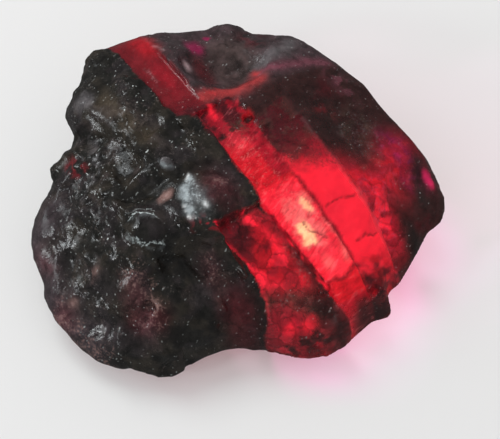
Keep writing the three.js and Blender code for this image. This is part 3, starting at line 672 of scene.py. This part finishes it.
arc_highlight_colour = (0.74, 0.84, 0.84, 1)
painted_arc_highlights = (  # how far out, width, where it starts above or below, its dim and its bright side, how bright
    (1.0, 0.09, (0.30, 0.75), (0.75, 0.1), 0.75),
    (1.0, 0.09, (-0.3, -0.7), (-1.2, 0.4), 0.85),
    (1.4, 0.06, (0.9, 1.3), (0.4, 0.0), 0.35),
)
for how_far, width, (low, high), (dim_side, lit_side), amount in painted_arc_highlights:
    off_edge = maths("ABSOLUTE", maths("SUBTRACT", from_middle, how_far))
    arc_highlight = maths("MULTIPLY", between(off_edge, width, width * 0.3), between(over_oval, low, high))
    arc_highlight = maths("MULTIPLY", arc_highlight, between(beside_oval, dim_side, lit_side))
    arc_highlight = maths("MULTIPLY", maths("MULTIPLY", arc_highlight, on_top), between(fine, 0.42, 0.54, 0.05, amount))
    colour = mix(arc_highlight, colour, arc_highlight_colour)

# Small glassy facets in the crust, each with a tilt of its own, catch the light as glints
cell = node("TexVoronoi", {"Vector": shaken, "Scale": 5.5})
steep = between(node("SeparateColor", {0: cell.outputs["Color"]}).outputs[2], 0.72, 0.74, 0.10, 1.0)
tilt = node("VectorMath", {0: cell.outputs["Color"], 1: (0.5, 0.5, 0.8)}, operation="SUBTRACT").outputs[0]
broken_share = maths("MAXIMUM", rugged_share, maths("MULTIPLY", crackle_share, 0.6))
steepness = maths("MULTIPLY", broken_share, steep)
tilt = node("VectorMath", {0: tilt, "Scale": steepness}, operation="SCALE").outputs[0]
facing_out = node("NewGeometry").outputs["Normal"]
tilted = node("VectorMath", {0: facing_out, 1: tilt}, operation="ADD").outputs[0]
tilted = node("VectorMath", {0: tilted}, operation="NORMALIZE").outputs[0]
roughened = maths("MULTIPLY", fine, 0.08)
bump = node("Bump", {"Strength": 0.6, "Distance": 0.5 * millimetre, "Height": roughened, "Normal": tilted})
corundum_ior = 1.77
# The painted glow is given off as emission in the stone's own colour, standing in for the light that comes
# through the red
shader = node("BsdfPrincipled", {
    "Base Color": colour,
    "Roughness": maths("MULTIPLY", rough, between(cloud, 0.3, 0.7, 0.7, 1.5)),
    "IOR": corundum_ior,
    "Normal": bump.outputs[0],
    "Transmission Weight": clear,
    "Emission Color": colour,
    "Emission Strength": painted_glow,
})

# Lamps shine through the stone: dimly through the crust, pink through the layers, pinker through the terrace
pale_pink_light, pink_light, dim_light = (1.25, 1.17, 1.29, 1), (1.22, 0.92, 1.15, 1), (0.78, 0.78, 0.78, 1)
passing = mix(crackle_share, pale_pink_light, pink_light)
through = node("BsdfTransparent", {"Color": mix(between(clear, 0.1, 0.4), dim_light, passing)})
shadow_ray = node("LightPath").outputs["Is Shadow Ray"]
surface = node("MixShader", {0: shadow_ray, 1: shader.outputs[0], 2: through.outputs[0]})
ruby_red, density = (0.95, 0.10, 0.22, 1), 60.0
inside = node("VolumeAbsorption", {"Color": ruby_red, "Density": density})
node("OutputMaterial", {"Surface": surface.outputs[0], "Volume": inside.outputs[0]})
skin.materials.clear()
skin.materials.append(ruby)
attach(stone, "root")
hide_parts("ruby")

# The stage: a plain pale floor, a low light on the left with its sheen and its glint, a higher and softer
# light behind, and pale light all round
floor_half, floor_gap = 1.5, 0.02 * millimetre
paper = bpy.data.meshes.new("paper")
sheet = bmesh.new()
bmesh.ops.create_grid(sheet, x_segments=1, y_segments=1, size=floor_half)
bmesh.ops.translate(sheet, verts=sheet.verts, vec=(0, 0, -floor_gap))
sheet.to_mesh(paper)
sheet.free()
floor = bpy.data.objects.new("paper", paper)
bpy.context.scene.collection.objects.link(floor)
floor.visible_glossy = False
white = bpy.data.materials.new("paper")
white.use_nodes = True
floor_shader = white.node_tree.nodes["Principled BSDF"]
floor_shader.inputs["Base Color"].default_value = (0.80, 0.80, 0.80, 1)
floor_shader.inputs["Roughness"].default_value = 0.8
floor_shader.inputs["Specular IOR Level"].default_value = 0.2
paper.materials.append(white)
lamp_distance = 0.6


# A round lamp that shines at the stone: direction anticlockwise from +X and rise, in degrees
def lamp(name, direction, rise, size, power, colour):
    disk = bpy.data.lights.new(name, "AREA")
    disk.shape = "DISK"
    disk.size = size
    disk.energy = power
    disk.color = colour
    holder = bpy.data.objects.new(name, disk)
    around, up = math.radians(direction), math.radians(rise)
    towards = Vector((math.cos(around) * math.cos(up), math.sin(around) * math.cos(up), math.sin(up)))
    holder.location = towards * lamp_distance
    holder.rotation_euler = towards.to_track_quat("Z", "Y").to_euler()
    bpy.context.scene.collection.objects.link(holder)
    return holder


window = lamp("window", 206, 27, 0.10, 0.8, (0.94, 0.98, 1.0))
window.visible_glossy = False
window.visible_transmission = False
lamp("window_glint", 186, 28, 0.07, 0.26, (0.94, 0.98, 1.0))
window_sheen = lamp("window_sheen", 170, 28, 0.25, 0.2, (0.92, 0.98, 1.0))
window_sheen.visible_transmission = False
soft_light = lamp("soft_light", 128, 56, 0.32, 2.25, (1.0, 0.99, 0.98))
soft_light.visible_glossy = False
soft_light.visible_transmission = False

# Light from all round, weaker in the stone's own mirror reflections
light_all_round, light_mirrored = 0.40, 0.08
room = bpy.data.worlds.new("room")
room.use_nodes = True
background = room.node_tree.nodes["Background"]
background.inputs["Color"].default_value = (1, 1, 1, 1)
ray = room.node_tree.nodes.new("ShaderNodeLightPath")
mirrored = room.node_tree.nodes.new("ShaderNodeMath")
mirrored.operation = "SUBTRACT"
mirrored.use_clamp = True
dimmed = room.node_tree.nodes.new("ShaderNodeMapRange")
dimmed.inputs["To Min"].default_value = light_all_round
dimmed.inputs["To Max"].default_value = light_mirrored
room.node_tree.links.new(ray.outputs["Is Glossy Ray"], mirrored.inputs[0])
room.node_tree.links.new(ray.outputs["Is Transmission Ray"], mirrored.inputs[1])
room.node_tree.links.new(mirrored.outputs[0], dimmed.inputs["Value"])
room.node_tree.links.new(dimmed.outputs[0], background.inputs["Strength"])
bpy.context.scene.world = room
bpy.context.scene.view_settings.view_transform = "Standard"

# The camera looks down at the stone from 60 degrees, as the photograph does
target = Vector((0.83, -1.81, 4.5)) * millimetre
camera_distance, elevation = 0.2003, math.radians(60)
camera_data = bpy.data.cameras.new("camera")
camera_data.lens = 200
camera_data.sensor_width = 36
camera_data.clip_start = 0.01
camera = bpy.data.objects.new("camera", camera_data)
camera.location = target + Vector((0, -math.cos(elevation), math.sin(elevation))) * camera_distance
camera.rotation_euler = (math.pi / 2 - elevation, 0, 0)
bpy.context.scene.collection.objects.link(camera)
bpy.context.scene.camera = camera
